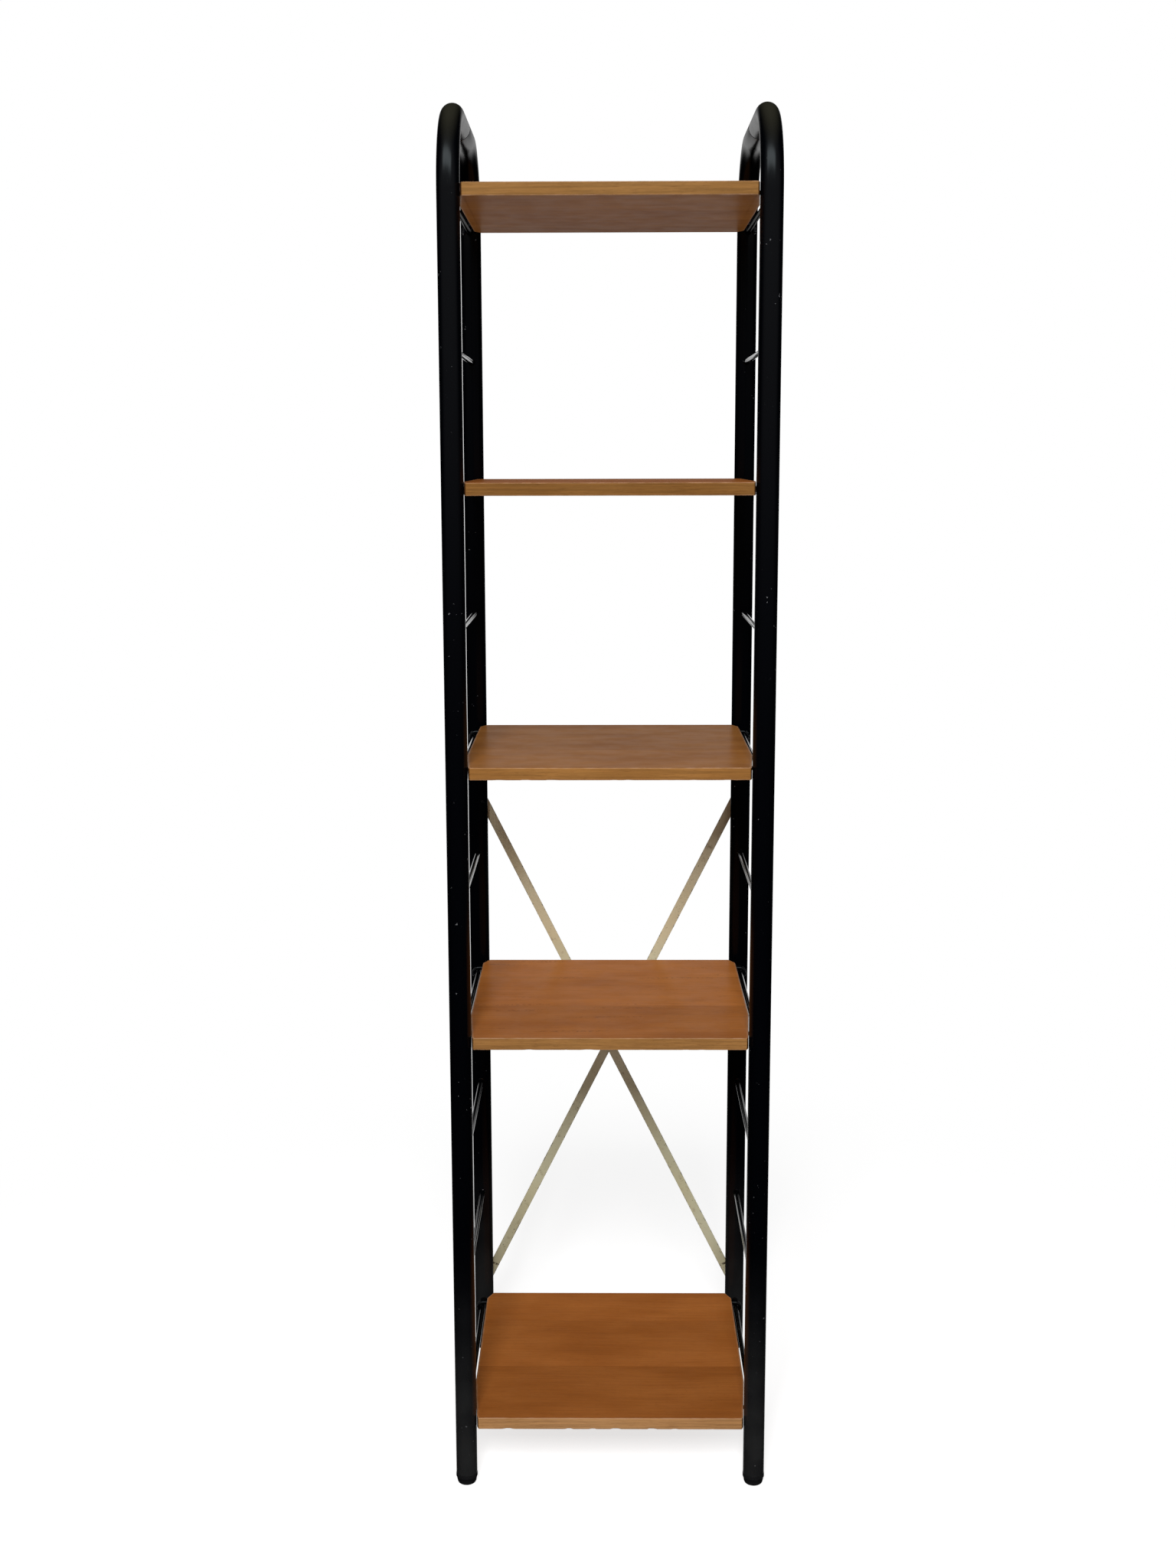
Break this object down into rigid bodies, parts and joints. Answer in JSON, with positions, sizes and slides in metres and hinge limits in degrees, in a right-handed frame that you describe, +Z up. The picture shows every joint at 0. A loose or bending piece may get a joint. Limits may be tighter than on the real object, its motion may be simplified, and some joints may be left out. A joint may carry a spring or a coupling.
{
  "type": "ladder-frame bookcase",
  "caption": "Tall narrow free-standing bookcase: two arched black tube ladder frames with thin rungs, lift-off wooden shelves on rod hooks, and a crossed flat brace at the back.",
  "frame": {"origin": "on the floor, under the middle of the bookcase's bounding box", "axes": "+Z up the tubes, +X to the right of someone who faces the front, +Y to the back"},
  "size_m": [0.4716, 0.474, 2.032],
  "materials": {
    "tube_enamel": "gloss black enamel",
    "rung_enamel": "gloss black enamel",
    "hook_enamel": "semi-gloss black enamel",
    "board_veneer": "satin lacquered veneer",
    "brace_enamel": "cream enamel",
    "screw_zinc": "zinc plated",
    "foot_plastic": "matte black"
  },
  "bodies": {
    "frame": {"left_front_tube": "tube_enamel", "left_rear_tube": "tube_enamel", "right_front_tube": "tube_enamel", "right_rear_tube": "tube_enamel", "left_rung_01": "rung_enamel", "left_rung_02": "rung_enamel", "left_rung_03": "rung_enamel", "left_rung_04": "rung_enamel", "left_rung_05": "rung_enamel", "left_rung_06": "rung_enamel", "left_rung_07": "rung_enamel", "left_rung_08": "rung_enamel", "left_rung_09": "rung_enamel", "left_rung_10": "rung_enamel", "right_rung_01": "rung_enamel", "right_rung_02": "rung_enamel", "right_rung_03": "rung_enamel", "right_rung_04": "rung_enamel", "right_rung_05": "rung_enamel", "right_rung_06": "rung_enamel", "right_rung_07": "rung_enamel", "right_rung_08": "rung_enamel", "right_rung_09": "rung_enamel", "right_rung_10": "rung_enamel", "left_front_foot": "foot_plastic", "left_rear_foot": "foot_plastic", "right_front_foot": "foot_plastic", "right_rear_foot": "foot_plastic", "brace_strip_falling": "brace_enamel", "brace_strip_rising": "brace_enamel", "brace_screw_upper_left": "screw_zinc", "brace_screw_upper_right": "screw_zinc", "brace_screw_lower_left": "screw_zinc", "brace_screw_lower_right": "screw_zinc"},
    "shelf_1": {"shelf_1_board": "board_veneer", "shelf_1_front_left_hook": "hook_enamel", "shelf_1_front_right_hook": "hook_enamel", "shelf_1_rear_left_hook": "hook_enamel", "shelf_1_rear_right_hook": "hook_enamel"},
    "shelf_2": {"shelf_2_board": "board_veneer", "shelf_2_front_left_hook": "hook_enamel", "shelf_2_front_right_hook": "hook_enamel", "shelf_2_rear_left_hook": "hook_enamel", "shelf_2_rear_right_hook": "hook_enamel"},
    "shelf_3": {"shelf_3_board": "board_veneer", "shelf_3_front_left_hook": "hook_enamel", "shelf_3_front_right_hook": "hook_enamel", "shelf_3_rear_left_hook": "hook_enamel", "shelf_3_rear_right_hook": "hook_enamel"},
    "shelf_4": {"shelf_4_board": "board_veneer", "shelf_4_front_left_hook": "hook_enamel", "shelf_4_front_right_hook": "hook_enamel", "shelf_4_rear_left_hook": "hook_enamel", "shelf_4_rear_right_hook": "hook_enamel"},
    "shelf_5": {"shelf_5_board": "board_veneer", "shelf_5_front_left_hook": "hook_enamel", "shelf_5_front_right_hook": "hook_enamel", "shelf_5_rear_left_hook": "hook_enamel", "shelf_5_rear_right_hook": "hook_enamel"}
  },
  "joints": [
    {"name": "shelf_1_lift", "type": "slide", "parent": "frame", "child": "shelf_1", "axis": [0, 0, 1], "range_m": [0, 0.02]},
    {"name": "shelf_2_lift", "type": "slide", "parent": "frame", "child": "shelf_2", "axis": [0, 0, 1], "range_m": [0, 0.02]},
    {"name": "shelf_3_lift", "type": "slide", "parent": "frame", "child": "shelf_3", "axis": [0, 0, 1], "range_m": [0, 0.02]},
    {"name": "shelf_4_lift", "type": "slide", "parent": "frame", "child": "shelf_4", "axis": [0, 0, 1], "range_m": [0, 0.02]},
    {"name": "shelf_5_lift", "type": "slide", "parent": "frame", "child": "shelf_5", "axis": [0, 0, 1], "range_m": [0, 0.02]}
  ]
}
